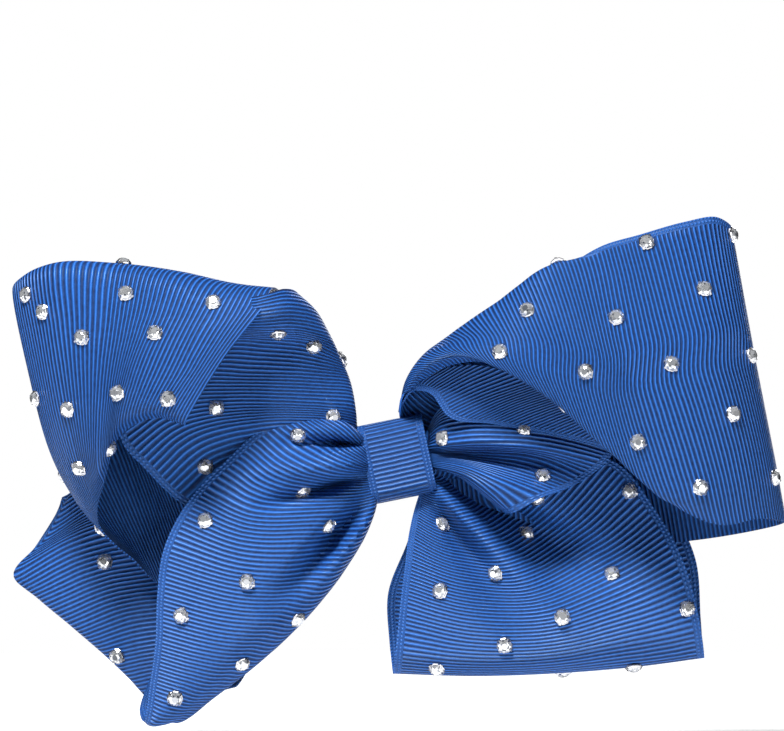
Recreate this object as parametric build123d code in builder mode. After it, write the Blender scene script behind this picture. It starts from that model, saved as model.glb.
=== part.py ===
"""Cheer hair bow: four stiff ribbon loops gathered in a wrapped knot on an alligator clip.

+X is to the right and +Z up, as the bow is worn and seen, and its front faces -Y.
The origin is the gripping line of the clip, behind the middle of the knot.
"""
from build123d import *
from math import atan2, cos, degrees, hypot, pi, radians, sin
import os

os.makedirs("parts", exist_ok=True)

# ---------------------------------------------------------------- driving dimensions (mm)
# Ribbon
ribbon_width = 76.0  # 3 inch grosgrain
ribbon_thickness = 1.0
gather_height = 14.0  # height of one ribbon layer, pleated, at the knot
layer_margin = 2.0  # from the outer layers to the faces of the gather
layer_pitch = 2.1  # spacing of the pleated layers in the knot, front to back
layer_count = 6

# Knot: gathered core, tie thread and centre wrap
wrap_width = 16.0  # 5/8 inch grosgrain
wrap_thickness = 0.6
wrap_height = 18.5
wrap_clearance = 0.2
wrap_corner = 3.5  # rounding of the wrap's two front edges
shoulder_depth = 2.5  # the wrap slopes in behind the gather, to the width of the clip
shoulder_step = 1.2
thread_diameter = 0.8
thread_turns = 5
thread_pitch = 0.9
thread_depth = 1.2  # how far the thread draws the gather in
thread_slack = 0.1

# Alligator clip
clip_width = 10.0
clip_sheet = 0.8
clip_reach = 32.0  # hinge side of the knot's middle to the tip
clip_tail = 28.0  # knot's middle to the end of the tails
jaw_gap = 6.0  # between the jaws, from hinge to lip
lip_length = 4.0  # sloped end of each jaw, down to the teeth
tip_width = 7.0
taper_length = 12.0
tooth_gap = 0.3
tooth_count = 5
tooth_height = 1.2
hinge_x = -15.0
pin_radius = 1.0
pin_head_radius = 1.6
pin_head_height = 0.5
ear_length = 8.0
ear_radius = 2.3
hinge_clearance = 0.05
ear_clearance = 0.15
waist_half = 5.5  # half the length over which the moving jaw narrows to pass the ears
tail_bend = 1.0
tail_corner = 3.0
tail_rise = 5.5  # how far the moving tail stands off, for the thumb
wire_diameter = 0.8
spring_turns = 3.5  # half a turn over, so that the legs leave on opposite sides of the pin
spring_clearance = 0.2
leg_reach = 7.0  # from the pin to the end of each leg of the spring, under a tail
leg_clearance = 0.15
coil_gap = 0.1
wire_sides = 6

# Crystals in their metal settings, in staggered rows over the ribbon's outer face
crystal_diameter = 3.3
crystal_height = 1.3
setting_diameter = 4.2
setting_height = 0.5
stone_sides = 6
stone_clearance = 0.5
row_pitch = 15.5
stone_pitch = 24.5
rows = 5
stones_from = 0.65  # share of the way to the fold, the pleats nearer the knot hold none

# ---------------------------------------------------------------- derived places
upper_jaw_inner = -jaw_gap / 2
upper_jaw_outer = upper_jaw_inner - clip_sheet
core_back = upper_jaw_outer - wrap_clearance
layer_back = core_back - layer_margin
core_front = layer_back - (layer_count - 1) * layer_pitch - layer_margin
wrap_back = upper_jaw_inner + wrap_clearance + wrap_thickness
wrap_front = core_front - wrap_clearance - wrap_thickness
core_height = wrap_height - 2 * (wrap_thickness + wrap_clearance)


# ---------------------------------------------------------------- ribbon loops
# Each loop leaves the knot at one depth, widens, turns over at its end fold and comes
# back behind itself. fold is the middle of the end fold and via the point that bends the
# way there, both as (x, z). rib is the angle of the end fold, and layers the places of its
# two ends in the stack at the knot, counted from the back. front and back are the depths of
# its two layers at the fold, and opens the shares of the way at which they leave their
# depths in the knot.
loops = {
    "upper_left": dict(
        side=-1, fold=(-70.0, 6.0), via=(-34.0, 14.0), rib=112.0,
        front=-38.0, back=-18.0, opens=(0.0, 0.35), layers=(5, 3), width=ribbon_width,
    ),
    "upper_right": dict(
        side=1, fold=(79.0, 20.5), via=(30.0, 12.0), rib=102.0,
        front=-38.0, back=-17.0, opens=(0.0, 0.5), layers=(5, 3), width=ribbon_width,
    ),
    "lower_left": dict(
        side=-1, fold=(-38.0, -46.5), via=(-26.0, -6.0), rib=202.0,
        front=-24.0, back=-11.5, opens=(0.1, 0.25), layers=(4, 2), width=56.0,
    ),
    "lower_right": dict(
        side=1, fold=(39.0, -45.0), via=(24.0, -2.0), rib=3.0,
        front=-24.0, back=-8.0, opens=(0.15, 0.1), layers=(4, 2), width=ribbon_width,
    ),
    "rear_left": dict(
        side=-1, fold=(-69.0, -38.0), via=(-34.0, -8.0), rib=137.0,
        front=-5.5, back=3.0, opens=(0.0, 0.3), layers=(1, 0), width=70.0,
    ),
}
full_width_at = 0.6  # share of the way to the fold where the ribbon has opened out
heading_from = 0.3  # share of the way before the ribbon stands square to its heading


def ease(share):
    """A smooth step from 0 to 1."""
    share = min(max(share, 0.0), 1.0)
    return share * share * (3 - 2 * share)


def leg_length(loop):
    return hypot(loop["fold"][0], loop["fold"][1]) - wrap_width / 2


def fold_radius(loop):
    return (loop["back"] - loop["front"]) / 2


def loop_length(loop):
    return 2 * leg_length(loop) + pi * fold_radius(loop)


def way_out(loop, share):
    """The point (x, z) and the heading of the way from the knot to the end fold."""
    start, via, fold = (loop["side"] * wrap_width / 2, 0.0), loop["via"], loop["fold"]
    point = [
        (1 - share) ** 2 * a + 2 * share * (1 - share) * b + share**2 * c
        for a, b, c in zip(start, via, fold)
    ]
    heading = [(1 - share) * (b - a) + share * (c - b) for a, b, c in zip(start, via, fold)]
    return point, degrees(atan2(heading[1], heading[0] * loop["side"]))


def rib_direction(loop, share):
    """The line across the ribbon at a share of the way from the knot to the fold."""
    side = loop["side"]
    twist = loop["rib"] - 90 - side * way_out(loop, 1)[1]
    heading = way_out(loop, share)[1] * ease(share / heading_from)
    turn = radians(90 + side * heading + twist * ease(share))
    return Vector(cos(turn), 0, sin(turn))


def ribbon_centre(loop, along):
    """A point on the ribbon's centre line, and the share of the way to the fold there."""
    leg, radius = leg_length(loop), fold_radius(loop)
    around = (along - leg) / radius
    if 0 < around < pi:
        rib = rib_direction(loop, 1)
        beyond = Vector(rib.Z, 0, -rib.X).normalized() * loop["side"] * radius * sin(around)
        middle = (loop["front"] + loop["back"]) / 2
        x, z = loop["fold"]
        return Vector(x + beyond.X, middle - radius * cos(around), z + beyond.Z), 1.0
    returning = around > 0
    share = min(along, loop_length(loop) - along) / leg
    knot_depth = layer_back - loop["layers"][returning] * layer_pitch
    depth = loop["back"] if returning else loop["front"]
    (x, z), _ = way_out(loop, share)
    start = loop["opens"][returning]
    opened = ease((share - start) / (1 - start))
    return Vector(x, knot_depth + (depth - knot_depth) * opened, z), share


def ribbon_section(loop, along):
    """The plane across the ribbon at a distance along it, and the ribbon's width there."""
    centre, share = ribbon_centre(loop, along)
    rib = rib_direction(loop, share)
    length = loop_length(loop)
    if along <= 0 or along >= length:
        tangent = Vector(loop["side"] if along <= 0 else -loop["side"], 0, 0)
    else:
        ahead, _ = ribbon_centre(loop, min(along + 1, length))
        behind, _ = ribbon_centre(loop, max(along - 1, 0))
        tangent = ahead - behind
    tangent = tangent - rib * tangent.dot(rib)
    width = gather_height + (loop["width"] - gather_height) * ease(share / full_width_at)
    return Plane(origin=centre, x_dir=rib, z_dir=tangent), width


def section_places(loop):
    """Distances along the loop where its cross-sections stand, closer round the fold."""
    leg, radius, length = leg_length(loop), fold_radius(loop), loop_length(loop)
    going = [leg * share for share in (0, 0.15, 0.3, 0.45, 0.6, 0.8)]
    fold = [leg + radius * pi * share for share in (0, 1 / 6, 2 / 6, 3 / 6, 4 / 6, 5 / 6, 1)]
    returning = [length - place for place in reversed(going)]
    return going + fold + returning


for name, loop in loops.items():
    with BuildPart() as ribbon_loop:
        for along in section_places(loop):
            plane, width = ribbon_section(loop, along)
            with BuildSketch(plane):
                Rectangle(width, ribbon_thickness)
        loft(ruled=True)
    ribbon_loop.part.label = "ribbon_loop_" + name
    export_step(ribbon_loop.part, f"parts/ribbon_loop_{name}.step")


# ---------------------------------------------------------------- crystals and settings
def stone_places(loop):
    """A plane on the ribbon's outer face for each stone, its Z axis pointing outwards."""
    length = loop_length(loop)
    columns = int((length - wrap_width) / (stone_pitch / 2))
    first = (length - (columns - 1) * stone_pitch / 2) / 2
    for column in range(columns):
        along = first + column * stone_pitch / 2
        plane, width = ribbon_section(loop, along)
        if ribbon_centre(loop, along)[1] < stones_from:
            continue
        outward = plane.y_dir * loop["side"]
        surface = ribbon_thickness / 2 + stone_clearance
        for row in range(rows):
            across = (row - (rows - 1) / 2) * row_pitch
            in_line = row % 2 == column % 2
            if in_line and abs(across) < width / 2 - setting_diameter:
                spot = plane.origin + plane.x_dir * across + outward * surface
                yield Plane(origin=spot, x_dir=plane.x_dir, z_dir=outward)


for name, loop in loops.items():
    with BuildPart() as settings:
        for plane in stone_places(loop):
            with BuildSketch(plane):
                RegularPolygon(setting_diameter / 2, stone_sides)
            extrude(amount=setting_height)
    settings.part.label = "settings_" + name
    export_step(settings.part, f"parts/settings_{name}.step")

    with BuildPart() as crystals:
        for plane in stone_places(loop):
            with BuildSketch(plane.offset(setting_height)):
                RegularPolygon(crystal_diameter / 2, stone_sides)
            extrude(amount=crystal_height, taper=30)
    crystals.part.label = "crystals_" + name
    export_step(crystals.part, f"parts/crystals_{name}.step")


# ---------------------------------------------------------------- knot
def knot_outline(shrink, back=None):
    """Corners of the knot's section as (y, z): full in front, narrow at the clip's jaw."""
    front = wrap_front + shrink
    tall = wrap_height / 2 - shrink
    narrow = clip_width / 2 + wrap_clearance + wrap_thickness - shrink
    shoulder = core_back - shrink
    half = [(front, tall), (shoulder - shoulder_depth, tall), (shoulder, narrow + shoulder_step)]
    if back is not None:
        half.append((back, narrow))
    return half + [(y, -z) for y, z in reversed(half)]


def knot_face(shrink, back=None):
    """The same section as a face in the open sketch, its two front corners rounded."""
    face = Polygon(*knot_outline(shrink, back), align=None)
    return fillet(face.vertices().group_by(Axis.X)[0], wrap_corner - shrink)


with BuildPart() as centre_wrap:
    with BuildSketch(Plane.YZ.offset(-wrap_width / 2)):
        knot_face(0, wrap_back)
    extrude(amount=wrap_width)
    with BuildSketch(Plane.YZ.offset(-wrap_width / 2)):
        knot_face(wrap_thickness, wrap_back - wrap_thickness)
    extrude(amount=wrap_width, mode=Mode.SUBTRACT)
centre_wrap.part.label = "centre_wrap"
export_step(centre_wrap.part, "parts/centre_wrap.step")

# The ribbon's four layers, pleated and drawn together, with a waist that the thread pulls in
core_shrink = wrap_thickness + wrap_clearance
thread_band = thread_turns * thread_pitch
with BuildPart() as ribbon_gather:
    with BuildSketch(Plane.YZ.offset(-wrap_width / 2)):
        knot_face(core_shrink)
    extrude(amount=wrap_width)
    with BuildSketch(Plane.YZ.offset(-thread_band / 2)):
        knot_face(0)
    extrude(amount=thread_band, mode=Mode.SUBTRACT)
    with BuildSketch(Plane.YZ.offset(-thread_band / 2)):
        knot_face(core_shrink + thread_depth)
    extrude(amount=thread_band)
ribbon_gather.part.label = "ribbon_gather"
export_step(ribbon_gather.part, "parts/ribbon_gather.step")

thread_shrink = core_shrink + thread_depth - thread_slack
with BuildPart() as tie_thread:
    for turn in range(thread_turns):
        start = (turn - thread_turns / 2) * thread_pitch + (thread_pitch - thread_diameter) / 2
        with BuildSketch(Plane.YZ.offset(start)):
            knot_face(thread_shrink - thread_diameter)
        extrude(amount=thread_diameter)
    with BuildSketch(Plane.YZ.offset(-thread_band / 2)):
        knot_face(thread_shrink)
    extrude(amount=thread_band, mode=Mode.SUBTRACT)
tie_thread.part.label = "tie_thread"
export_step(tie_thread.part, "parts/tie_thread.step")


# ---------------------------------------------------------------- alligator clip
def jaw_path(facing, tail_lift):
    """A jaw's bent centre line, as (x, y), on one side of the gripping line."""
    middle = facing * (jaw_gap / 2 + clip_sheet / 2)
    return [
        (-clip_tail, middle + facing * tail_lift),
        (hinge_x - ear_length / 2 - tail_bend, middle),
        (clip_reach - lip_length, middle),
        (clip_reach, facing * clip_sheet / 2 - facing * tooth_height),
    ]


def tooth_line(gap):
    """The zigzag that the two lips meet on, as (y, z), past both sides of the jaw."""
    half_pitch = tip_width / tooth_count / 2
    steps = int(clip_width / 2 / half_pitch) + 1
    return [
        (gap + tooth_height * (step % 2 - 0.5), step * half_pitch)
        for step in range(-steps, steps + 1)
    ]


def clip_jaw(facing, tail_lift, ear_offset, waist_width):
    """One stamped jaw: bent strip, rounded ends, two drilled ears and a toothed lip."""
    with BuildPart() as jaw:
        with BuildSketch(Plane.XY):
            with BuildLine():
                Polyline(*jaw_path(facing, tail_lift))
            trace(line_width=clip_sheet)
        extrude(amount=clip_width / 2, both=True)
        with BuildSketch(Plane.XZ) as plan:
            with BuildLine():
                half = [
                    (-clip_tail, clip_width / 2), (clip_reach - taper_length, clip_width / 2),
                    (clip_reach + 1, tip_width / 2),
                ]
                Polyline(*half, *[(x, -z) for x, z in reversed(half)], close=True)
            make_face()
            fillet(plan.vertices().group_by(Axis.X)[0], tail_corner)
            for edge in (-1, 1):
                with Locations((hinge_x, edge * (waist_width + clip_width) / 2)):
                    Rectangle(2 * waist_half, clip_width, mode=Mode.SUBTRACT)
        extrude(amount=2 * clip_tail, both=True, mode=Mode.INTERSECT)
        # Ears, bent over beside the pin
        with BuildSketch(Plane.XY.offset(ear_offset - clip_sheet)):
            with Locations((hinge_x, 0)):
                Circle(ear_radius)
            with Locations((hinge_x, facing * (jaw_gap + clip_sheet) / 2)):
                Rectangle(ear_length, clip_sheet)
            make_hull()
        extrude(amount=clip_sheet)
        mirror(about=Plane.XY)
        with BuildSketch(Plane.XY):
            with Locations((hinge_x, 0)):
                Circle(pin_radius + hinge_clearance)
        extrude(amount=clip_width, both=True, mode=Mode.SUBTRACT)
        # Teeth along the lip
        with BuildSketch(Plane.YZ.offset(clip_reach - lip_length)):
            beyond = -facing * jaw_gap
            zigzag = tooth_line(facing * tooth_gap / 2)
            with BuildLine():
                Polyline(*zigzag, (beyond, clip_width), (beyond, -clip_width), close=True)
            make_face()
        extrude(amount=2 * lip_length, mode=Mode.SUBTRACT)
    return jaw


outer_waist = clip_width + clip_sheet
upper_jaw = clip_jaw(facing=-1, tail_lift=0, ear_offset=clip_width / 2, waist_width=outer_waist)
upper_jaw.part.label = "clip_upper_jaw"
export_step(upper_jaw.part, "parts/clip_upper_jaw.step")

inner_ear = clip_width / 2 - clip_sheet - ear_clearance
lower_jaw = clip_jaw(facing=1, tail_lift=tail_rise, ear_offset=inner_ear, waist_width=2 * inner_ear)
lower_jaw.part.label = "clip_lower_jaw"
export_step(lower_jaw.part, "parts/clip_lower_jaw.step")

with BuildPart() as hinge_pin:
    with BuildSketch(Plane.XY):
        with Locations((hinge_x, 0)):
            Circle(pin_radius)
    extrude(amount=clip_width / 2 + ear_clearance, both=True)
    with BuildSketch(Plane.XY.offset(clip_width / 2 + ear_clearance)):
        with Locations((hinge_x, 0)):
            Circle(pin_head_radius)
    extrude(amount=pin_head_height)
    mirror(about=Plane.XY)
hinge_pin.part.label = "clip_hinge_pin"
export_step(hinge_pin.part, "parts/clip_hinge_pin.step")

# Torsion spring: a coil on the pin with a leg under each tail
coil_radius = pin_radius + spring_clearance + wire_diameter / 2
coil_length = spring_turns * (wire_diameter + coil_gap)
coil_foot = (hinge_x, 0, -coil_length / 2)
leg_end = jaw_gap / 2 - leg_clearance - wire_diameter / 2
coil = Helix(coil_length / spring_turns, coil_length, coil_radius, center=coil_foot)
coil = coil.rotate(Axis(coil_foot, (0, 0, 1)), -90)  # so that the first leg leaves at the front
with BuildPart() as clip_spring:
    with BuildSketch(Plane(origin=coil @ 0, z_dir=coil % 0)):
        RegularPolygon(wire_diameter / 2, wire_sides)
    sweep(path=coil, is_frenet=True)
    for end, facing in ((0, -1), (1, 1)):
        root = coil @ end
        tip = Vector(hinge_x - leg_reach, facing * leg_end, root.Z)
        with BuildSketch(Plane(origin=root, z_dir=tip - root)):
            RegularPolygon(wire_diameter / 2, wire_sides)
        extrude(amount=(tip - root).length)
clip_spring.part.label = "clip_spring"
export_step(clip_spring.part, "parts/clip_spring.step")
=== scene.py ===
"""Looks for the cheer hair bow: gathered grosgrain loops with crystals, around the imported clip.

Lengths in the ribbon patterns are millimetres, as (x, y, z) in the bow's own frame: +X right,
+Z up and -Y towards the front. Meshes are made in metres.
"""

import math
import random

import bpy
import bmesh
import numpy as np
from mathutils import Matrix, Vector


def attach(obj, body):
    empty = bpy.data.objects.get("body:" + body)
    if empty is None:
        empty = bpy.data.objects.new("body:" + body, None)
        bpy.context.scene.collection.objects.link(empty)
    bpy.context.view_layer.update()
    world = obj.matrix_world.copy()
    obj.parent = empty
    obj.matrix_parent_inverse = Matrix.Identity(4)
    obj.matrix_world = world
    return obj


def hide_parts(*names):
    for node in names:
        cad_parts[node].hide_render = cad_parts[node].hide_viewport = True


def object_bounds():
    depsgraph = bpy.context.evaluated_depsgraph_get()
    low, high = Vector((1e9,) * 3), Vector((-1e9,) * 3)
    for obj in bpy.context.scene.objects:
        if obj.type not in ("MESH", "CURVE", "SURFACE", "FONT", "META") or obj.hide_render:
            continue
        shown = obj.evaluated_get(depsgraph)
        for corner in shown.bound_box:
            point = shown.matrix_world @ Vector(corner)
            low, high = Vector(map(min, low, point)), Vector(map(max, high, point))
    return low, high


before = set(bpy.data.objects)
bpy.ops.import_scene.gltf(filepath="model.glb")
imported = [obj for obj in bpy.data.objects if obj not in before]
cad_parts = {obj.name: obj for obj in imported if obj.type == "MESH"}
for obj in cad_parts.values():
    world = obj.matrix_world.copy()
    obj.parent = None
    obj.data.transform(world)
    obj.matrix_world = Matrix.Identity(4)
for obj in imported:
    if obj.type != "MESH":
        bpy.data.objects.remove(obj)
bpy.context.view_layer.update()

MM = 0.001
RIBBON_WIDTH = 76.0
RIBBON_THICKNESS = 0.45
BAND_WIDTH = 16.6
BAND_THICKNESS = 0.6
CORE_THICKNESS = 0.9
RIB_PITCH = 1.15
SELVEDGE = 1.9
STITCH_PITCH = 0.85
STEP = 1.5  # size of the cells in a ribbon's mesh
SMOOTH_ANGLE = math.radians(50)
STONE_GAP = 8.0  # least distance between two crystals of one panel
ROW_END = 12.0  # bare ribbon left at the end of a row of crystals
ROW_SLACK = 1.5  # how far off its row a crystal may fall
STONE_SIDES = 8
CUP_SIDES = 10
CLAWS = 4
FLOOR_RADIUS = 0.5  # metres, as are the floor's drop and the places of lights and camera
FLOOR_DROP = 0.006


# ---------------------------------------------------------------- shader nodes
class Socket:
    """A shader value that adds a Math node for each operation on it."""

    def __init__(self, shader, out):
        self.shader = shader
        self.out = out

    def math(self, operation, *others):
        values = {index: value for index, value in enumerate((self,) + others)}
        return self.shader.node("ShaderNodeMath", {"operation": operation}, values)

    def __add__(self, other):
        return self.math("ADD", other)

    def __sub__(self, other):
        return self.math("SUBTRACT", other)

    def __rsub__(self, other):
        return self.shader.node("ShaderNodeMath", {"operation": "SUBTRACT"}, {0: other, 1: self})

    def __mul__(self, other):
        return self.math("MULTIPLY", other)

    def __lt__(self, other):
        return self.math("LESS_THAN", other)

    __radd__ = __add__
    __rmul__ = __mul__


class Shader:
    """A material on the Principled shader, and the one way that its nodes are added."""

    def __init__(self, name, **finish):
        self.material = bpy.data.materials.new(name)
        self.material.use_nodes = True
        self.tree = self.material.node_tree
        self.surface = self.tree.nodes["Principled BSDF"]
        for socket, value in finish.items():
            self.surface.inputs[socket.replace("_", " ")].default_value = value

    def node(self, kind, settings=None, values=None, output=0):
        made = self.tree.nodes.new(kind)
        for name, value in (settings or {}).items():
            setattr(made, name, value)
        for name, value in (values or {}).items():
            if isinstance(value, Socket):
                self.tree.links.new(value.out, made.inputs[name])
            else:
                made.inputs[name].default_value = value
        return Socket(self, made.outputs[output])

    def feed(self, **sources):
        for socket, value in sources.items():
            self.tree.links.new(value.out, self.surface.inputs[socket.replace("_", " ")])

    def mix(self, share, first, second):
        """Two colours mixed by a share from 0 to 1."""
        return self.node(
            "ShaderNodeMix", {"data_type": "RGBA"}, {0: share, 6: first, 7: second}, output=2
        )

    def place(self):
        return self.node("ShaderNodeTexCoord", output=3)

    def noise(self, where, scale, detail=3.0, rough=0.5):
        values = {"Vector": where, "Scale": scale, "Detail": detail, "Roughness": rough}
        return self.node("ShaderNodeTexNoise", values=values)

    def bump(self, height, distance, strength=1.0):
        return self.node(
            "ShaderNodeBump", values={"Height": height, "Distance": distance, "Strength": strength}
        )


def grosgrain(name, painted_groove_shade, painted_crest_highlight, width):
    """Corded ribbon: ribs across it, and a plain stitched selvedge along each edge."""
    shader = Shader(
        name, Roughness=0.45, Specular_IOR_Level=0.5, Specular_Tint=(0.5, 0.72, 1.0, 1.0),
    )
    uv = shader.node("ShaderNodeUVMap", {"uv_map": "ribbon"})
    along = shader.node("ShaderNodeSeparateXYZ", values={0: uv}, output=0)
    across = shader.node("ShaderNodeSeparateXYZ", values={0: uv}, output=1)
    blotch = shader.noise(shader.place(), 140.0)
    slub = shader.noise(uv, 900.0, detail=2.0)
    turn = along * (2 * math.pi / (RIB_PITCH * MM)) + blotch * 1.6
    rib = (turn.math("SINE") * 0.5 + 0.5).math("POWER", 1.3)
    edge = (across.math("MINIMUM", width * MM - across)) * 1000
    on_edge = edge < SELVEDGE
    loops = (along * (2 * math.pi / (STITCH_PITCH * MM))).math("SINE") * 0.5 + 0.5
    stitch = (edge * 6.6).math("SINE") * 0.5 + 0.5
    hem = loops * stitch * 0.55 + 0.3
    relief = rib * (1 - on_edge) + hem * on_edge
    # Painted shade and painted highlight: the colour runs from near-black blue in the rib grooves to
    # bright blue on the rib crests and the selvedge's stitches, with random slub tone on top
    colour = shader.mix(relief * 0.85 + slub * 0.3 - 0.08, painted_groove_shade, painted_crest_highlight)
    shader.feed(
        Base_Color=colour,
        Roughness=0.62 - relief * 0.3,
        Normal=shader.bump(relief, 0.0005, 1.0),
    )
    return shader.material


def tie_thread_finish():
    """Thread in two mottled blues, with a fine uneven surface."""
    shader = Shader("thread", Roughness=0.7, Sheen_Weight=0.2)
    twist = shader.noise(shader.place(), 2500.0, detail=2.0)
    shader.feed(
        Base_Color=shader.mix(twist, (0.01, 0.05, 0.26, 1), (0.03, 0.12, 0.42, 1)),
        Normal=shader.bump(twist, 0.0002),
    )
    return shader.material


def plated_steel(name, dark, bright, rough):
    """Plated sheet steel or wire: fine brushing, and duller patches from handling."""
    shader = Shader(name, Metallic=1.0)
    place = shader.place()
    brushed = shader.noise(
        shader.node(
            "ShaderNodeMapping", values={"Vector": place, "Scale": (60.0, 900.0, 900.0)}
        ), 3.0
    )
    smudge = shader.noise(place, 180.0)
    shader.feed(
        Base_Color=shader.mix(smudge, dark, bright),
        Roughness=rough + brushed * 0.12 + smudge * 0.1,
        Normal=shader.bump(brushed, 0.00004, 0.6),
    )
    return shader.material


def crystal_finish():
    """Foil-backed cut crystal: each facet gets its own brightness, from dark to white, painted into its
    colour as glints and reflections.
    """
    shader = Shader("crystal", Roughness=0.05, Coat_Weight=1.0, Coat_Roughness=0.02, IOR=1.55)
    painted_glint = shader.node("ShaderNodeAttribute", {"attribute_name": "painted_glint"}, output=2)
    shader.feed(
        Base_Color=shader.mix(painted_glint, (0.05, 0.06, 0.08, 1), (0.95, 0.97, 1.0, 1)),
        Metallic=painted_glint * 0.5 + 0.3,
    )
    return shader.material


# ---------------------------------------------------------------- ribbon sheets
def curve_through(points):
    """Close points on a smooth curve through the given ones, and the run to each of those."""
    points = np.asarray(points, float)
    padded = np.vstack([2 * points[0] - points[1], points, 2 * points[-1] - points[-2]])
    fine = []
    for index in range(1, len(padded) - 2):
        a, b, c, d = padded[index - 1:index + 3]
        t = np.linspace(0, 1, 24, endpoint=False)[:, None]
        fine.append(
            0.5 * (2 * b + (c - a) * t + (2 * a - 5 * b + 4 * c - d) * t**2
                   + (3 * b - a - 3 * c + d) * t**3)
        )
    fine = np.vstack(fine + [points[-1:]])
    run = np.r_[0, np.cumsum(np.linalg.norm(np.diff(fine, axis=0), axis=1))]
    return fine, run, run[::24]


def even_lines(ribs, count):
    """Each rib as that many points, so that what its points mark lines up from rib to rib."""
    curves = [curve_through(rib) for rib in ribs]
    lines = []
    for fine, run, marks in curves:
        alike = [other / other[-1] for _, _, other in curves if len(other) == len(marks)]
        wanted = np.interp(np.linspace(0, 1, count), np.mean(alike, axis=0), marks)
        lines.append(np.stack([np.interp(wanted, run, fine[:, axis]) for axis in range(3)], 1))
    return np.stack(lines)


class Panel:
    """A stretch of ribbon laid through the ribs that cross it, each a line of points."""

    def __init__(self, ribs, hem="start", width=RIBBON_WIDTH):
        self.hem = hem
        self.width = width
        self.drifts = []
        across = max(np.linalg.norm(np.diff(np.asarray(rib, float), axis=0), axis=1).sum()
                     for rib in ribs)
        lines = even_lines(ribs, int(across / STEP) + 2)
        gaps = np.linalg.norm(np.diff(lines, axis=0), axis=2)
        counts = np.maximum(2, (gaps.max(axis=1) / STEP).astype(int) + 1)
        self.grid = self.between(lines, counts)

    @staticmethod
    def between(lines, counts):
        """Smooth steps from each rib to the next, on curves that allow for uneven gaps."""
        gap = np.maximum(np.linalg.norm(np.diff(lines, axis=0), axis=2), 0.3)[..., None]
        slope = np.diff(lines, axis=0) / gap
        middle = (slope[:-1] * gap[1:] + slope[1:] * gap[:-1]) / (gap[1:] + gap[:-1])
        tangent = np.concatenate([slope[:1], middle, slope[-1:]])
        rows = []
        for index, count in enumerate(counts):
            last = index == len(counts) - 1
            start, end = tangent[index] * gap[index], tangent[index + 1] * gap[index]
            for t in np.linspace(0, 1, count + last, endpoint=last):
                rows.append(
                    lines[index] * (2 * t**3 - 3 * t**2 + 1) + start * (t**3 - 2 * t**2 + t)
                    + lines[index + 1] * (3 * t**2 - 2 * t**3) + end * (t**3 - t**2)
                )
        return np.stack(rows)

    def crease(self, start, end, width, depth, sharp=0.15):
        """Presses a pleat into the ribbon, from one (x, z) to another: back, or forward if
        the depth is negative."""
        a, b = np.array(start, float), np.array(end, float)
        spots = self.grid[:, :, [0, 2]] - a
        share = np.clip(spots @ (b - a) / ((b - a) @ (b - a)), 0, 1)
        away = np.linalg.norm(spots - share[..., None] * (b - a), axis=2)
        swell = np.minimum(1, share / sharp) * np.clip((1 - share) * 1.4, 0, 1)
        spread = width * (0.35 + 0.65 * share)
        self.grid[:, :, 1] += depth * swell * np.exp(-(away / spread) ** 2)
        return self

    def drift(self, at, over, amount):
        """Lets the ribs run aside by an amount, as woven ribs do where the ribbon is bent."""
        self.drifts.append((at, over, amount))

    def mapping(self):
        """Distances along and across the ribbon at each point, in metres."""
        grid = self.grid
        steps = np.linalg.norm(np.diff(grid, axis=0), axis=2).mean(axis=1)
        along = np.r_[0, np.cumsum(steps)]
        rises = np.linalg.norm(np.diff(grid, axis=1), axis=2)
        across = np.concatenate([np.zeros((len(grid), 1)), np.cumsum(rises, axis=1)], axis=1)
        if self.hem == "end":
            across = self.width - across[:, -1:] + across
        elif self.hem == "both":
            across = across / across[:, -1:] * self.width
        elif self.hem == "none":
            across = across * 0.8 + 4
        else:
            across = np.minimum(across, self.width - 2.5)
        along = along[:, None] + 0.35 * np.sin(across / 9 + along[:, None] / 21)
        for at, over, amount in self.drifts:
            share = np.clip((across - at) / over + 0.5, 0, 1)
            along = along + amount * share * share * (3 - 2 * share)
        return along * MM, across * MM

    def normals(self):
        """Unit normals, towards the side from which the ribs run left to right as they come."""
        du = np.gradient(self.grid, axis=0)
        dv = np.gradient(self.grid, axis=1)
        normal = np.cross(du, dv)
        return normal / np.maximum(np.linalg.norm(normal, axis=2, keepdims=True), 1e-9)


def add_object(name, mesh):
    piece = bpy.data.objects.new(name, mesh)
    bpy.context.scene.collection.objects.link(piece)
    return piece


def ribbon(name, panels, finish, thickness=RIBBON_THICKNESS):
    """One sheet of ribbon made of its panels, with its real thickness."""
    points, faces, spots = [], [], []
    for panel in panels:
        rows, columns = panel.grid.shape[:2]
        first = len(points)
        points.extend((panel.grid.reshape(-1, 3) * MM).tolist())
        along, across = panel.mapping()
        spots.extend(zip(along.ravel(), across.ravel()))
        for row in range(rows - 1):
            for column in range(columns - 1):
                corner = first + row * columns + column
                faces.append((corner, corner + columns, corner + columns + 1, corner + 1))
    mesh = bpy.data.meshes.new(name)
    mesh.from_pydata(points, [], faces)
    layer = mesh.uv_layers.new(name="ribbon")
    for loop in mesh.loops:
        layer.data[loop.index].uv = spots[loop.vertex_index]
    mesh.materials.append(finish)
    piece = add_object(name, mesh)
    bpy.ops.object.select_all(action="DESELECT")
    bpy.context.view_layer.objects.active = piece
    piece.select_set(True)
    wall = piece.modifiers.new("wall", "SOLIDIFY")
    wall.thickness = thickness * MM
    wall.offset = 0.0
    bpy.ops.object.modifier_apply(modifier="wall")
    bpy.ops.object.shade_smooth_by_angle(angle=SMOOTH_ANGLE)
    return piece


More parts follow.
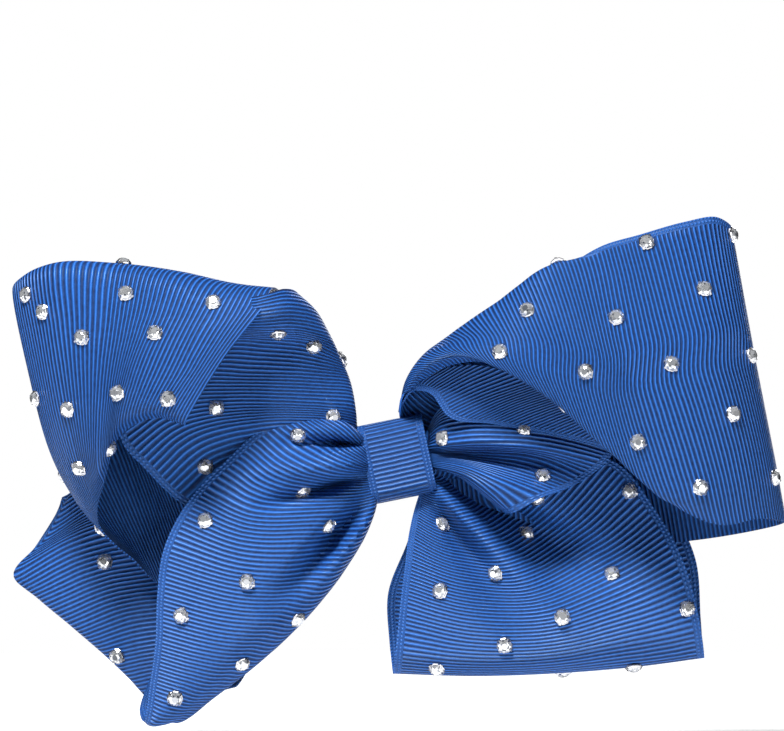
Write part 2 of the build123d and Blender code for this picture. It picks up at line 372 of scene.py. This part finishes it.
# ---------------------------------------------------------------- loops of the bow
def upper_left():
    front = Panel([
        [(-27, -16, 39), (-31, -33, 43.3), (-34, -38.5, 38), (-43, -41.5, 26),
         (-52, -42, 11.5), (-53, -38, 9)],
        [(-36, -15, 41), (-42.6, -32, 44.3), (-49, -39, 34), (-55, -41.5, 22),
         (-60, -41, 13.5), (-60, -36, 11)],
        [(-48, -14, 43), (-56, -31, 47.3), (-60, -37.5, 36), (-65, -40, 24),
         (-69, -39, 11), (-69, -33, 7)],
        [(-66, -14, 44), (-71, -30, 49.2), (-73, -36, 34), (-75, -37, 16),
         (-75.5, -35, 0), (-74, -29, -6)],
        [(-82, -14, 44), (-87, -28, 49.2), (-85.5, -33, 34), (-83, -34, 15),
         (-79.5, -32, -1), (-75.5, -27, -12)],
        [(-90, -15, 43), (-94, -23, 46.3), (-91, -28, 29), (-87, -29, 9),
         (-81.5, -28, -6), (-75, -24, -17)],
        [(-93, -15, 42), (-97.3, -19, 43), (-93, -23, 22), (-87.5, -24, 2),
         (-80, -22, -12), (-71.5, -20, -21.5)],
        [(-92, -12, 42), (-95.5, -14, 42), (-91, -15, 21), (-85, -16, 1),
         (-77, -17, -14), (-67.5, -16, -25)],
        [(-84, -11, 42), (-80, -11, 22), (-74, -12, 2), (-60, -13, -32)],
        [(-66, -11, 41), (-60, -11, 15), (-50, -12, -15), (-44, -13, -32)],
        [(-44, -11, 34), (-36, -11, 12), (-28, -12, -5), (-24, -12, -20)],
        [(-24, -11, 20), (-20, -11, 5), (-18, -11, -4), (-17, -12, -10)],
        [(-7, -11, 6), (-7, -11, 2), (-7, -11, -2), (-7, -11, -6)],
    ], hem="none")
    inner = Panel([
        [(-6, -15, -5), (-6, -16, -2), (-6, -16, 0), (-6, -16, 3), (-6, -15, 5), (-6, -13, 6)],
        [(-56, -19, -10), (-45, -20, -1), (-30, -21, 3), (-19, -20, 5), (-12, -17, 6), (-9, -13, 5)],
        [(-63, -21, -3), (-52, -23, 6), (-36, -24, 9.5), (-20, -22, 10),
         (-11.5, -17, 8.5), (-10, -12, 7)],
        [(-70, -23, 6), (-58, -25, 13), (-42, -25, 15), (-25, -24, 15), (-12, -19, 14), (-11, -13, 12)],
        [(-66, -25, 16), (-50, -27, 22), (-38, -26, 22), (-25, -26, 22),
         (-13.5, -20, 21), (-12, -14, 19)],
        [(-60, -26, 26), (-45, -29, 30), (-33, -28, 30), (-22, -27, 29),
         (-15, -22, 26), (-14, -15, 24)],
        [(-52, -27, 35), (-43, -32, 34), (-34, -36, 34), (-26, -34, 34.5),
         (-18.5, -27, 33), (-17, -17, 31)],
        [(-46, -30, 39), (-38, -37, 38), (-33, -38.5, 38.6), (-27, -36, 39.5),
         (-21.5, -28, 38.5), (-20, -18, 36)],
        [(-41, -30, 41), (-36, -37, 41), (-32, -37.5, 42), (-28.5, -33, 43),
         (-25.5, -26, 42.3), (-25, -17, 39)],
    ], hem="start")
    return [front, inner]


def lower_left():
    front = Panel([
        [(-8, -14, 6), (-8, -16, 5), (-7, -17, 4), (-7, -17, 3), (-6, -16, 1)],
        [(-18, -19, 11), (-14, -22, 9.5), (-11, -23, 7), (-8.5, -21, 4), (-6, -15, 1)],
        [(-28, -21, 11.3), (-20, -26, 6), (-13, -26, 1.8), (-8, -21, -1), (-6, -15, -2)],
        [(-36, -23, 6.5), (-28, -27, 0), (-18, -27, -3.5), (-8, -21, -4), (-6, -15, -4)],
        [(-43, -24, 0), (-33, -28, -6.5), (-20, -27, -8), (-7, -20, -7.5), (-6, -15, -6)],
        [(-50, -24, -7), (-37, -29, -13), (-21, -28, -13), (-7, -21, -12), (-5, -14, -9)],
        [(-55, -25, -14), (-39, -30, -19.5), (-23, -29, -20), (-9, -21, -19.5), (-7, -14.5, -12)],
        [(-59, -25, -23), (-40, -30, -28), (-25, -29, -29), (-13.3, -20, -27.5), (-9, -14, -14)],
        [(-60.5, -25, -34), (-43, -29, -38), (-31, -28, -39), (-21.7, -19, -38.5), (-14, -14, -19)],
        [(-61, -24, -46), (-49, -27, -49), (-40, -25, -50), (-32.3, -18, -48.7), (-22, -14, -26)],
        [(-62.5, -22, -57), (-56, -24, -59), (-50, -22, -60.5), (-44.2, -16, -57.6), (-33, -14, -34)],
        [(-64, -19, -66), (-62, -20, -67.3), (-58, -18, -66.6), (-54, -14, -64), (-44, -13.5, -42)],
        [(-65.5, -13, -64), (-63, -12, -63), (-60, -11, -61), (-56, -10.5, -57), (-48, -10, -42)],
        [(-62, -9.5, -54), (-58, -9.5, -50), (-53, -9.5, -45), (-48, -9.5, -39), (-43, -9.5, -32)],
        [(-36, -9.5, -32), (-32, -9.5, -28), (-28, -9.5, -23), (-24, -9.5, -17), (-20, -9.5, -11)],
        [(-6, -9, -5), (-6, -9, -3), (-6, -9, 0), (-6, -9, 3), (-6, -9, 5)],
    ], hem="start")
    front.crease((-7, 4), (-31, 4.5), 2.4, 9.0, sharp=0.3)
    front.crease((-7, -1), (-42, -3), 3.2, -3.5)
    front.crease((-7, -4), (-36, -12), 2.6, 9.0, sharp=0.3)
    front.crease((-7, -9), (-34, -40), 4.5, 9.0, sharp=0.3)
    front.crease((-6, -13), (-24, -38), 3.4, -3.0)
    return [front]


def rear_left():
    outer = Panel([
        [(-62, -8, 6), (-72, -7, 0), (-78, -6, -4), (-82, -4, -7), (-84, 1, -9), (-86, 3, -10)],
        [(-52, -8, -4), (-66, -8, -8), (-78, -7, -13), (-89, -4, -20), (-89, 1, -18), (-86, 3, -11)],
        [(-48, -8, -14), (-66, -9, -17), (-82, -7, -21), (-97.5, -3, -30),
         (-94, 1.5, -26), (-85, 3, -11)],
        [(-46, -8, -24), (-60, -9, -26.5), (-76, -8, -29), (-91, -4, -35.5),
         (-88.5, 1, -32), (-79, 3, -10)],
        [(-44, -8, -35), (-58, -9, -37), (-70, -8, -38.5), (-82, -4, -43.4),
         (-79, 1, -39), (-69, 3, -9)],
        [(-44, -8, -45), (-56, -9, -46.5), (-66, -8, -48), (-75, -4, -49.8),
         (-71, 1, -45), (-58, 3, -8)],
        [(-44, -7, -52), (-54, -8, -54), (-62, -7, -55), (-68.5, -4, -56), (-64, 1, -51), (-47, 3, -7)],
        [(-42, -6, -58), (-52, -7, -60), (-58, -6, -61), (-63, -3, -61.5), (-57, 1, -55), (-36, 3, -5)],
        [(-36, 0, -50), (-42, 1, -51), (-47, 2, -50), (-50, 3, -46), (-44, 3.5, -36), (-26, 3.5, -4)],
        [(-22, 1, -26), (-25, 1, -24), (-27, 2, -20), (-26, 2, -15), (-22, 2, -9), (-16, 2, -3)],
        [(-6, -5, -5), (-6, -5, -3), (-6, -5, -1), (-6, -5, 1), (-6, -5, 3), (-6, -5, 5)],
    ], hem="none")
    return [outer]


def upper_right():
    front = Panel([
        [(16, -12, 3), (7, -11, 5), (1.5, -14, 9), (0.8, -20, 14), (2, -23.5, 17), (5, -22, 18)],
        [(20, -13, 10), (10, -12, 13), (3.5, -15, 18), (2.3, -23, 20), (6, -28, 22.5), (9, -26, 22)],
        [(25, -15, 18), (15, -14, 20), (7.5, -19, 26), (9, -30, 27.3), (16, -35, 26.3), (18, -31, 25)],
        [(30, -18, 25), (20, -17, 28), (14, -24, 32), (19, -35, 29), (25, -38.5, 23.5), (27, -34, 24)],
        [(35, -22, 33), (28, -22, 37), (25, -29, 39.3), (30, -38, 29), (37, -41, 16.5), (40, -36, 18)],
        [(40, -30, 45), (38.3, -31, 47.2), (38.5, -33.5, 47.5), (44, -39.5, 30),
         (52, -42, 3.8), (56, -37, 6)],
        [(51, -31.5, 53.6), (51.2, -32.3, 52.5), (52, -33.5, 50), (57, -40.5, 26),
         (66, -42, -6), (69.5, -38, -11)],
        [(61, -31, 56.7), (61.3, -31.7, 55.5), (62, -33.5, 52), (70, -40, 24),
         (77.5, -40.5, -3), (81, -38, -16)],
        [(72.5, -30, 60), (73, -30.6, 58.5), (74, -32, 54), (81, -38, 28),
         (88, -36.5, 0), (91, -34, -14.5)],
        [(80, -28, 61.3), (80.3, -28.4, 59.8), (81, -29.3, 55), (86, -34, 29),
         (93, -32, -1), (95.5, -30, -15)],
        [(84.3, -23, 59), (84.6, -23.4, 57.5), (85.3, -24, 53), (90, -27, 26),
         (95.5, -26.5, -2), (98, -25, -15.5)],
        [(83, -17, 58), (83.3, -17.2, 56.5), (84, -17.5, 52), (89, -19, 25),
         (94.5, -20, -3), (96.5, -20, -16.5)],
        [(75, -13, 57), (75.3, -13, 55.5), (76, -13, 51), (81, -13, 23),
         (86, -15, -5), (88.5, -15, -18.5)],
        [(58, -12, 52), (58.4, -12, 50.5), (59.5, -12, 46), (65, -11, 16),
         (70, -12.5, -10), (72, -13, -21)],
        [(38, -11, 42), (38.4, -11, 40.5), (39.5, -11, 36), (46, -11, 10),
         (52, -12, -14), (54, -12, -22)],
        [(20, -11, 24), (20.5, -11, 22.5), (21.5, -11, 19), (26, -11, 2),
         (27.5, -11, -9), (28, -11, -14)],
        [(7, -11, 6), (7, -11, 5), (7, -11, 4), (7, -11, 0), (7, -11, -4), (7, -11, -6)],
    ], hem="start")
    inner = Panel([
        [(0.5, -15, 12), (1, -15, 15), (2, -16, 17)],
        [(1.5, -20, 14.5), (2.5, -21, 17), (4, -21, 20)],
        [(4, -24, 17.5), (4.5, -24, 19.3), (8, -24, 22)],
        [(8, -25.5, 17), (12, -26, 19.5), (20, -27, 24)],
        [(13, -25, 11), (22, -27, 15.5), (34, -28, 20)],
        [(24, -26, 9.2), (33, -28, 13.2), (44, -29, 17)],
        [(36, -27, 7), (44, -29, 10.5), (53, -30, 14)],
        [(50, -28, 3.6), (56, -30, 7), (64, -31, 10)],
        [(58, -29, 1.5), (64, -31, 4), (72, -32, 7)],
    ], hem="start")
    gathered = Panel([
        [(7, -15, 6), (11, -18, 13), (18, -20, 17), (34, -21, 16), (55, -24, 8)],
        [(7.5, -16, 5.5), (12, -20, 9.5), (22, -23, 10.8), (38, -25, 8.5), (55, -26, 3.5)],
        [(8, -16, 4.5), (12, -21, 6.5), (21, -25, 7.6), (37, -27, 6.2), (54.5, -27, 1.8)],
        [(8, -17, 3), (13, -22, 4), (22, -26, 4.6), (36, -28, 3.6), (53, -27, 0)],
        [(8, -16, 1.6), (13, -20, 2), (22, -22, 2.2), (35, -23, 1), (48.5, -26, -4)],
        [(8, -17, 0.6), (13, -21, 0.3), (20, -24, -0.6), (30, -25, -3), (43, -26, -7)],
        [(8, -17, -0.4), (13, -23, -1), (19, -28, -2.6), (27, -31, -6), (36, -29, -9.5)],
        [(8, -17, -1.4), (13, -23, -2.2), (18, -27, -3.8), (24, -29.5, -8), (29.5, -28, -13)],
        [(8, -14, -2), (13, -18, -3), (17, -20, -5), (22, -21, -9), (27, -21, -13)],
    ], hem="end")
    front.crease((34, 40), (80, -2), 9.0, -2.0, sharp=0.4)
    front.drift(34, 12, 3.0)
    gathered.crease((9, 2), (44, -3), 2.6, 3.0)
    return [front, inner, gathered]


def lower_right():
    front = Panel([
        [(7, -13, -6), (7.5, -14, -4), (8, -14, -3), (8, -14, -1.5), (8, -13, 0)],
        [(6, -15, -8), (10, -17, -9), (15, -16, -8), (20, -15, -4), (22, -14, 0)],
        [(4.5, -16, -12.5), (12, -19, -16), (22, -17, -15), (32, -16, -8), (40, -15, 2)],
        [(3, -18, -19), (14, -21, -24), (29, -18, -24), (44, -17, -15), (56, -16, -1)],
        [(2, -20, -27), (17, -24, -31.5), (34, -20, -32), (52, -19, -23), (65, -18, -12)],
        [(1, -21, -35), (18, -25, -39), (38, -25, -39.5), (56, -24, -33), (71.5, -21, -23.5)],
        [(0.3, -21, -42), (20, -24, -45.5), (40, -25, -45.5), (60, -24, -40), (75, -21, -34)],
        [(-0.5, -20, -49.5), (20, -22, -51), (40, -23, -50.5), (60, -22, -47), (77, -20, -43.5)],
        [(-1, -16, -54), (20, -17, -54.6), (40, -17, -54), (60, -17, -52.3), (78, -16, -50)],
        [(-1.2, -11, -53.5), (20, -11, -53.6), (40, -11, -53), (60, -11, -51.5), (78, -11, -49.5)],
        [(-2, -8.5, -46), (20, -8, -47), (40, -8, -46), (60, -8, -43), (77.5, -8.5, -41)],
        [(-2.4, -8.5, -35), (20, -8, -37), (40, -8, -36), (60, -8, -31), (76, -8.5, -25)],
        [(3, -8.5, -20), (18, -8, -22), (34, -8, -20), (52, -8, -13), (64, -8.5, -6)],
        [(6, -8, -8), (12, -8, -9), (18, -8, -8), (26, -8, -4), (32, -8, 2)],
        [(7, -8, -5), (7, -8, -3), (7, -8, 2), (7, -8, 5)],
    ], hem="both")
    front.crease((9, -3), (62, -32), 6.0, 8.0)
    front.crease((8, -5), (48, -46), 5.0, -5.0)
    front.crease((8, -9), (34, -48), 5.0, 4.0)
    return [front]


def centre_band():
    """The narrow ribbon round the knot, a little askew in front."""
    half = BAND_WIDTH / 2
    path = [
        (-3.2, -5.5), (-6, -8), (-12, -9), (-17, -9.6), (-19.6, -8), (-20.4, -4), (-20.6, 0),
        (-20.4, 4), (-19.4, 8), (-17, 9.8), (-12, 9.2), (-6, 8), (-3.2, 5.5), (-2.4, 0), (-3.1, -5),
    ]
    lines = []
    for y, z in path:
        tilt = math.radians(12) * min(1, max(0, (-y - 4) / 12))
        cos, sin = math.cos(tilt), math.sin(tilt)
        lines.append([(x * cos - z * sin, y + 0.25 * abs(x / half) ** 4, x * sin + z * cos)
                      for x in (-half, -half / 2, 0, half / 2, half)])
    return [Panel(lines, hem="both", width=BAND_WIDTH)]


def gathered_core():
    """The ribbon's own layers, pleated and drawn together in the knot."""
    panels = []
    for layer in range(6):
        y = -6 - 2.1 * layer
        ribs = []
        for x in (-8.4, -5, -2, 0, 2, 5, 8.4):
            tall = 6.4 if abs(x) < 3 else 7.2
            ribs.append([(x, y + 0.5 * (-1) ** fold, -tall + tall * fold / 5) for fold in range(11)])
        panels.append(Panel(ribs, hem="none"))
    return panels


# ---------------------------------------------------------------- crystals and settings
def stone_spots(panel, outward, pitch, rows):
    """Places on a panel's outer face: each row lies at a distance across the ribbon, and
    starts at a distance along it. A place too near one already taken is left out."""
    taken = []
    along, across = (distance / MM for distance in panel.mapping())
    normal = panel.normals() * outward
    for height, start in rows:
        column = np.abs(across - height).argmin(axis=1)
        line = np.arange(len(column))
        run = along[line, column]
        for place in np.arange(start, run.max() - ROW_END, pitch):
            index = int(np.abs(run - place).argmin())
            spot = panel.grid[index, column[index]]
            clear = all(np.linalg.norm(spot - other) > STONE_GAP for other in taken)
            if clear and abs(across[index, column[index]] - height) < ROW_SLACK:
                taken.append(spot)
                yield spot, normal[index, column[index]]


def stone_frame(spot, normal, turn):
    """A stone's base point, two directions across it, turned by an angle, and its outward one."""
    out = Vector(normal).normalized()
    side = out.cross(Vector((0.3, 0.1, 1))).normalized()
    up = out.cross(side)
    cos, sin = math.cos(turn), math.sin(turn)
    return Vector(spot), side * cos + up * sin, up * cos - side * sin, out


# Radius and height of each ring: girdle foot, girdle, middle of the crown and table
STONE_RINGS = ((1.8, 0.35), (1.78, 0.65), (1.25, 1.2), (0.8, 1.4))
# The cup's profile, from its floor over the rim to the seat under the stone
CUP_RINGS = ((1.6, 0.0), (2.1, 0.12), (2.08, 0.5), (1.86, 0.75), (1.75, 0.5))
# Corners of a claw's under side and top, as angle, radius and height
CLAW_UNDER = ((-0.16, 2.1, 0.3), (0.16, 2.1, 0.3), (0.1, 1.5, 1.15), (-0.1, 1.5, 1.15))
CLAW_TOP = ((-0.14, 2.28, 0.5), (0.14, 2.28, 0.5), (0.08, 1.55, 1.38), (-0.08, 1.55, 1.38))


def crystals_mesh(name, spots, finish, chance):
    """Cut stones: a girdle, two rings of crown facets and a flat table."""
    mesh = bmesh.new()
    painted_glint = mesh.faces.layers.float.new("painted_glint")
    for spot, normal in spots:
        base, side, up, out = stone_frame(spot, normal, chance.random() * 0.8)
        rings = []
        for level, (radius, height) in enumerate(STONE_RINGS):
            lift = out * (height + RIBBON_THICKNESS / 2)
            ring = []
            for step in range(STONE_SIDES):
                angle = (step + level / 2) * 2 * math.pi / STONE_SIDES
                around = side * math.cos(angle) + up * math.sin(angle)
                ring.append(mesh.verts.new((base + around * radius + lift) * MM))
            rings.append(ring)
        faces = []
        for low, high in zip(rings, rings[1:]):
            for step in range(STONE_SIDES):
                after = (step + 1) % STONE_SIDES
                faces.append(mesh.faces.new((low[step], low[after], high[step])))
                faces.append(mesh.faces.new((low[after], high[after], high[step])))
        faces.append(mesh.faces.new(rings[-1]))
        faces.append(mesh.faces.new(list(reversed(rings[0]))))
        # Each facet's random brightness is a painted glint, used by the crystal finish for its colour
        for face in faces:
            face[painted_glint] = min(1.0, max(0.0, chance.gauss(0.66, 0.36)))
    made = bpy.data.meshes.new(name)
    mesh.to_mesh(made)
    mesh.free()
    made.materials.append(finish)
    return add_object(name, made)


def settings_mesh(name, spots, finish, chance):
    """Metal settings: a low cup with four claws bent over the stone."""
    mesh = bmesh.new()
    for spot, normal in spots:
        base, side, up, out = stone_frame(spot, normal, chance.random() * 0.8)

        def at(angle, radius, height):
            around = side * math.cos(angle) + up * math.sin(angle)
            return mesh.verts.new((base + around * radius + out * height) * MM)

        rings = [[at(step * 2 * math.pi / CUP_SIDES, radius, height) for step in range(CUP_SIDES)]
                 for radius, height in CUP_RINGS]
        for low, high in zip(rings, rings[1:]):
            for step in range(CUP_SIDES):
                after = (step + 1) % CUP_SIDES
                mesh.faces.new((low[step], low[after], high[after], high[step]))
        mesh.faces.new(list(reversed(rings[0])))
        mesh.faces.new(rings[-1])
        for claw in range(CLAWS):
            turn = (claw + 0.5) * 2 * math.pi / CLAWS
            low = [at(turn + angle, radius, height) for angle, radius, height in CLAW_UNDER]
            top = [at(turn + angle, radius, height) for angle, radius, height in CLAW_TOP]
            mesh.faces.new(top)
            mesh.faces.new(list(reversed(low)))
            for step in range(len(low)):
                after = (step + 1) % len(low)
                mesh.faces.new((low[step], low[after], top[after], top[step]))
    made = bpy.data.meshes.new(name)
    mesh.to_mesh(made)
    mesh.free()
    made.materials.append(finish)
    return add_object(name, made)


# ---------------------------------------------------------------- finishes
# The first colour of each grosgrain is a near-black blue for painted shade in the grooves, the second a
# bright blue for painted highlight on the crests
blue = grosgrain("grosgrain", (0.0004, 0.004, 0.045, 1), (0.036, 0.172, 0.62, 1), RIBBON_WIDTH)
band_blue = grosgrain("band_grosgrain", (0.0008, 0.009, 0.07, 1), (0.022, 0.125, 0.47, 1), BAND_WIDTH)
crystal = crystal_finish()
claw_metal = plated_steel("claw_metal", (0.5, 0.5, 0.52, 1), (0.85, 0.85, 0.87, 1), 0.16)
clip_metal = plated_steel("clip_metal", (0.26, 0.26, 0.26, 1), (0.44, 0.44, 0.45, 1), 0.26)
wire_metal = plated_steel("wire_metal", (0.35, 0.35, 0.36, 1), (0.6, 0.6, 0.61, 1), 0.28)
pin_metal = plated_steel("pin_metal", (0.55, 0.55, 0.54, 1), (0.8, 0.8, 0.79, 1), 0.14)
thread = tie_thread_finish()

for node, finish in (
    ("clip_upper_jaw", clip_metal), ("clip_lower_jaw", clip_metal), ("clip_hinge_pin", pin_metal),
    ("clip_spring", wire_metal), ("tie_thread", thread),
):
    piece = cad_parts[node]
    piece.data.materials.clear()
    piece.data.materials.append(finish)

# ---------------------------------------------------------------- pieces
# Each loop's panels, the flat length stated for it, which was fitted to the area of its mesh and
# isn't a cut length, and for each panel with stones its number, the side of its outer face, the
# pitch along a row, and each row's height and start
LOOPS = {
    "upper_left": (upper_left(), 0.19, (
        (0, 1, 20, ((16, 36), (25, 12), (34, 22), (47, 9), (59, 30))),
        (1, -1, 24.5, ((11, 26), (27, 38), (40, 58), (53, 34))))),
    "upper_right": (upper_right(), 0.22, (
        (0, -1, 24.5, ((3, 37.5), (19, 25), (35, 37.5), (51, 50), (67, 86.5))),
        (2, 1, 24.5, ((32, 10), (53, 9), (68, 22))))),
    "lower_left": (lower_left(), 0.10, (
        (0, 1, 24.5, ((7, 18), (23, 30), (38, 40), (54, 44))),)),
    "lower_right": (lower_right(), 0.15, (
        (0, 1, 24.5, ((11, 21.5), (27, 12), (42, 29), (58, 24), (73, 37))),)),
    "rear_left": (rear_left(), 0.11, (
        (0, -1, 24.5, ((12, 12), (27, 24), (42, 36), (57, 24), (68, 36))),)),
}
chance = random.Random(7)
for name, (panels, length, stones) in LOOPS.items():
    piece = ribbon("bow_loop_" + name, panels, blue)
    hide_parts("ribbon_loop_" + name)
    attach(piece, "bow")
    spots = []
    for number, outward, pitch, rows in stones:
        spots.extend(stone_spots(panels[number], outward, pitch, rows))
    cut = crystals_mesh("cut_stones_" + name, spots, crystal, chance)
    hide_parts("crystals_" + name)
    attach(cut, "bow")
    claws = settings_mesh("claws_" + name, spots, claw_metal, chance)
    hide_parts("settings_" + name)
    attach(claws, "bow")

band = ribbon("knot_band", centre_band(), band_blue, BAND_THICKNESS)
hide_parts("centre_wrap")
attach(band, "bow")

core = ribbon("pleated_core", gathered_core(), blue, CORE_THICKNESS)
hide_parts("ribbon_gather")
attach(core, "bow")


# ---------------------------------------------------------------- stage, lights and camera
def pale_floor():
    """A round sheet of pale paper just below the bow."""
    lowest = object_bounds()[0][2]
    bpy.ops.mesh.primitive_circle_add(
        vertices=96, radius=FLOOR_RADIUS, fill_type="NGON", location=(0, 0, lowest - FLOOR_DROP)
    )
    floor = bpy.context.active_object
    floor.name = "floor"
    paper = Shader(
        "floor_paper", Base_Color=(0.86, 0.86, 0.86, 1), Roughness=0.9,
        Emission_Color=(1, 1, 1, 1), Emission_Strength=0.3,
    )
    floor.data.materials.append(paper.material)


def soft_box(name, place, size, power):
    """A soft rectangular lamp that looks at the knot."""
    light = bpy.data.lights.new(name, "AREA")
    light.shape = "RECTANGLE"
    light.size, light.size_y = size
    light.energy = power
    lamp = bpy.data.objects.new(name, light)
    bpy.context.scene.collection.objects.link(lamp)
    lamp.location = place
    lamp.rotation_euler = (-Vector(place)).to_track_quat("-Z", "Y").to_euler()


def studio_world():
    """White behind the bow, with only a little light of its own."""
    world = bpy.data.worlds.new("studio")
    bpy.context.scene.world = world
    world.use_nodes = True
    nodes = world.node_tree.nodes
    sky = nodes["Background"]
    sky.inputs["Color"].default_value = (0.9, 0.95, 1, 1)
    sky.inputs["Strength"].default_value = 0.025
    backdrop = nodes.new("ShaderNodeBackground")
    backdrop.inputs["Color"].default_value = (1, 1, 1, 1)
    backdrop.inputs["Strength"].default_value = 1.0
    seen = nodes.new("ShaderNodeLightPath")
    either = nodes.new("ShaderNodeMixShader")
    for source, socket in (
        (seen.outputs["Is Camera Ray"], either.inputs[0]), (sky.outputs[0], either.inputs[1]),
        (backdrop.outputs[0], either.inputs[2]),
        (either.outputs[0], nodes["World Output"].inputs["Surface"]),
    ):
        world.node_tree.links.new(source, socket)


def front_camera():
    """A long lens, level with the knot."""
    lens = bpy.data.cameras.new("camera")
    camera = bpy.data.objects.new("camera", lens)
    bpy.context.scene.collection.objects.link(camera)
    lens.sensor_width = 36
    lens.lens = 272
    camera.location = (-0.0013, -1.52, 0.0239)
    camera.rotation_euler = (math.radians(90), 0, 0)
    bpy.context.scene.camera = camera


pale_floor()
soft_box("key", (-0.3, -0.72, 1.15), (0.35, 0.3), 36)
soft_box("fill", (0.9, -1.1, 0.35), (0.5, 0.5), 3.0)
soft_box("rear", (0.3, 1.3, 0.25), (0.8, 0.8), 5)
studio_world()
front_camera()
bpy.context.scene.view_settings.view_transform = "Standard"
